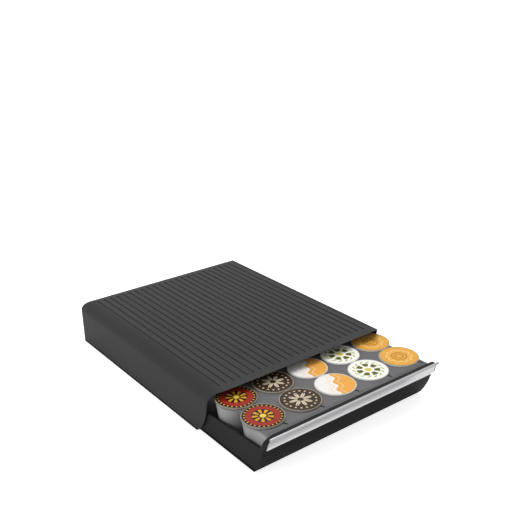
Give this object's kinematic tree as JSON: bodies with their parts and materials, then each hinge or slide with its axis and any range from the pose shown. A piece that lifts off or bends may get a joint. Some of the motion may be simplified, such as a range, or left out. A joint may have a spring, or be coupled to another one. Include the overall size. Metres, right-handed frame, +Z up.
{
  "type": "coffee pod drawer",
  "caption": "Low charcoal countertop drawer for coffee pods: a grooved sleeve, a black tray with a bright handle strip, a grey pocketed insert and pods in its front rows.",
  "frame": {"origin": "on the counter, under the middle of the part's bounding box, with the drawer pulled out to show two rows of pods", "axes": "X is across, from left to right seen from the front; Y runs back, so the drawer opens towards -Y; Z is up"},
  "size_m": [0.2792, 0.45, 0.069],
  "materials": {
    "sleeve_charcoal": "satin moulded charcoal plastic, fine grain",
    "tray_black": "smooth black moulded plastic",
    "strip_chrome": "satin bright metal, soft mirror",
    "insert_grey": "mid grey moulded plastic",
    "foot_rubber": "soft black rubber",
    "pod_plastic_dark": "smooth dark plastic",
    "pod_plastic_white": "smooth white plastic",
    "foil_red": "printed foil, black and red with gold",
    "foil_brown": "printed foil, dark brown with cream",
    "foil_orange": "printed foil, white and orange",
    "foil_green": "printed foil, white with olive green",
    "foil_gold": "printed foil, orange and gold"
  },
  "bodies": {
    "housing": {"foot_back_left": "foot_rubber", "foot_back_right": "foot_rubber", "foot_front_left": "foot_rubber", "foot_front_right": "foot_rubber", "foot_middle_left": "foot_rubber", "foot_middle_right": "foot_rubber", "sleeve": "sleeve_charcoal"},
    "drawer": {"drawer_tray": "tray_black", "handle_strip": "strip_chrome", "pod_cup_front_1": "pod_plastic_dark", "pod_cup_front_2": "pod_plastic_dark", "pod_cup_front_3": "pod_plastic_white", "pod_cup_front_4": "pod_plastic_white", "pod_cup_front_5": "pod_plastic_white", "pod_cup_second_1": "pod_plastic_dark", "pod_cup_second_2": "pod_plastic_dark", "pod_cup_second_3": "pod_plastic_white", "pod_cup_second_4": "pod_plastic_white", "pod_cup_second_5": "pod_plastic_white", "pod_insert": "insert_grey", "pod_lid_front_1": "foil_red", "pod_lid_front_2": "foil_brown", "pod_lid_front_3": "foil_orange", "pod_lid_front_4": "foil_green", "pod_lid_front_5": "foil_gold", "pod_lid_second_1": "foil_red", "pod_lid_second_2": "foil_brown", "pod_lid_second_3": "foil_orange", "pod_lid_second_4": "foil_green", "pod_lid_second_5": "foil_gold"}
  },
  "joints": [
    {"name": "drawer_slide", "type": "slide", "parent": "housing", "child": "drawer", "axis": [0, -1, 0], "range_m": [-0.0986, 0.1767]}
  ]
}
